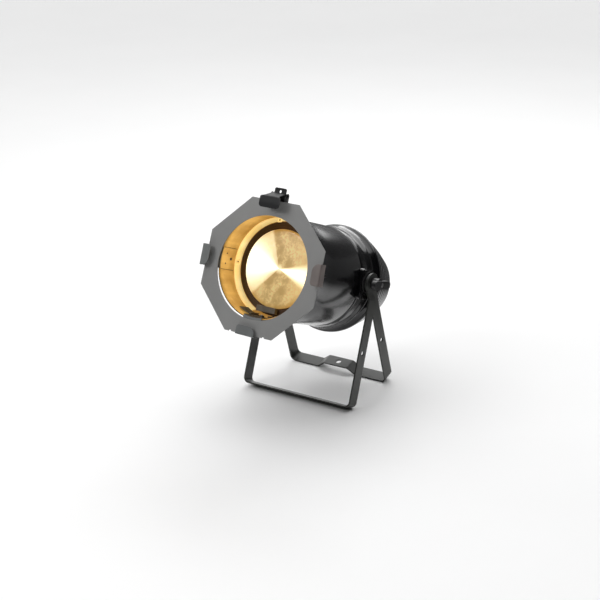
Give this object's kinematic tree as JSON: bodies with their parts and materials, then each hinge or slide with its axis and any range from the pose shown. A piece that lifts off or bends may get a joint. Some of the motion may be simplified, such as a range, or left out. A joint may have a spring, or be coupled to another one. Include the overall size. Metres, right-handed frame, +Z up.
{
  "type": "stage can light",
  "caption": "Round-barrelled stage light with a zoom lens, eight-sided colour frame, sprung frame latch and a folding double yoke with wing knobs.",
  "frame": {"origin": "centre of the bounding box's bottom, on the floor under the light", "axes": "+Z up, the light points towards -Y and 23.1 degrees upwards, +X along the yoke's pivot axis"},
  "size_m": [0.276, 0.4267, 0.436],
  "materials": {
    "body_paint": "black semi-gloss powder coat, gold-toned inside the barrel",
    "frame_paint": "satin mid-grey paint",
    "yoke_paint": "dark grey satin paint",
    "clip_paint": "dark grey satin paint",
    "gold": "warm satin metal",
    "lens_glass": "finely grooved and stippled optical glass, lit warm",
    "inner_black": "matt dark brown-black",
    "black_plastic": "moulded black plastic",
    "zinc": "zinc-plated steel",
    "aluminium": "plain aluminium",
    "circuit": "white circuit board",
    "phosphor": "yellow phosphor",
    "display": "dark glossy window",
    "rubber": "black rubber"
  },
  "bodies": {
    "front_yoke": {"front_yoke": "yoke_paint"},
    "head": {"barrel": "body_paint", "joint_ring": "body_paint", "rear_cap": "body_paint", "gel_frame": "frame_paint", "clip_left": "clip_paint", "clip_right": "clip_paint", "clip_bottom": "clip_paint", "clip_screw_left": "zinc", "clip_screw_right": "zinc", "clip_screw_bottom": "zinc", "clip_screw_top": "zinc", "ring_screw_left": "zinc", "ring_screw_right": "zinc", "ring_screw_top": "zinc", "latch_bracket": "clip_paint", "latch_pin": "zinc", "latch_spring": "zinc", "retaining_ring": "gold", "led_board": "circuit", "led_chip": "phosphor", "chassis_plate": "aluminium", "heat_sink": "aluminium", "fan_frame": "black_plastic", "fan_bracket": "aluminium", "power_supply": "aluminium", "control_panel": "body_paint", "power_inlet": "black_plastic", "data_in_socket": "black_plastic", "data_out_socket": "black_plastic", "display_window": "display", "side_bracket_right": "body_paint", "side_bracket_left": "body_paint", "bracket_screw_upper_right": "zinc", "bracket_screw_lower_right": "zinc", "bracket_screw_upper_left": "zinc", "bracket_screw_lower_left": "zinc", "pivot_stud_right": "zinc", "pivot_stud_left": "zinc", "friction_disc_right": "rubber", "friction_disc_left": "rubber", "spacer_right": "zinc", "spacer_left": "zinc"},
    "rear_yoke": {"rear_yoke": "yoke_paint"},
    "knob_right": {"knob_right": "black_plastic"},
    "knob_left": {"knob_left": "black_plastic"},
    "latch": {"latch_catch": "clip_paint"},
    "zoom": {"lens": "lens_glass", "lens_carrier": "inner_black", "zoom_block": "inner_black"},
    "zoom_screw": {"zoom_screw": "black_plastic"},
    "fan": {"fan_rotor": "black_plastic"},
    "button_menu": {"button_menu": "rubber"},
    "button_down": {"button_down": "rubber"},
    "button_up": {"button_up": "rubber"},
    "button_enter": {"button_enter": "rubber"}
  },
  "joints": [
    {"name": "head_tilt", "type": "hinge", "parent": "front_yoke", "child": "head", "pos_m": [0, 0.0456, 0.22901], "axis": [1, 0, 0], "range_deg": [-90, 50]},
    {"name": "rear_yoke_swing", "type": "hinge", "parent": "front_yoke", "child": "rear_yoke", "pos_m": [0, 0.0456, 0.22901], "axis": [1, 0, 0], "range_deg": [-38, 60]},
    {"name": "knob_right_turn", "type": "hinge", "parent": "front_yoke", "child": "knob_right", "pos_m": [0.12, 0.0456, 0.22901], "axis": [1, 0, 0], "continuous": true},
    {"name": "knob_left_turn", "type": "hinge", "parent": "front_yoke", "child": "knob_left", "pos_m": [-0.12, 0.0456, 0.22901], "axis": [1, 0, 0], "continuous": true},
    {"name": "latch_open", "type": "hinge", "parent": "head", "child": "latch", "pos_m": [0, -0.08762, 0.4239], "axis": [1, 0, 0], "range_deg": [-75, 0], "stiffness_Nm_per_rad": 0.06, "springref_deg": 11.46},
    {"name": "zoom_slide", "type": "slide", "parent": "head", "child": "zoom", "axis": [0, -0.9198, 0.3923], "range_m": [-0.05, 0]},
    {"name": "zoom_screw_turn", "type": "hinge", "parent": "zoom", "child": "zoom_screw", "pos_m": [0, -0.12895, 0.17713], "axis": [0, 0.3923, 0.9198], "continuous": true},
    {"name": "fan_spin", "type": "hinge", "parent": "head", "child": "fan", "pos_m": [0, 0.05972, 0.21624], "axis": [0, -0.9198, 0.3923], "continuous": true},
    {"name": "button_menu_press", "type": "slide", "parent": "head", "child": "button_menu", "axis": [0, -0.9198, 0.3923], "range_m": [0, 0.0015], "stiffness_N_per_m": 400},
    {"name": "button_down_press", "type": "slide", "parent": "head", "child": "button_down", "axis": [0, -0.9198, 0.3923], "range_m": [0, 0.0015], "stiffness_N_per_m": 400},
    {"name": "button_up_press", "type": "slide", "parent": "head", "child": "button_up", "axis": [0, -0.9198, 0.3923], "range_m": [0, 0.0015], "stiffness_N_per_m": 400},
    {"name": "button_enter_press", "type": "slide", "parent": "head", "child": "button_enter", "axis": [0, -0.9198, 0.3923], "range_m": [0, 0.0015], "stiffness_N_per_m": 400}
  ]
}
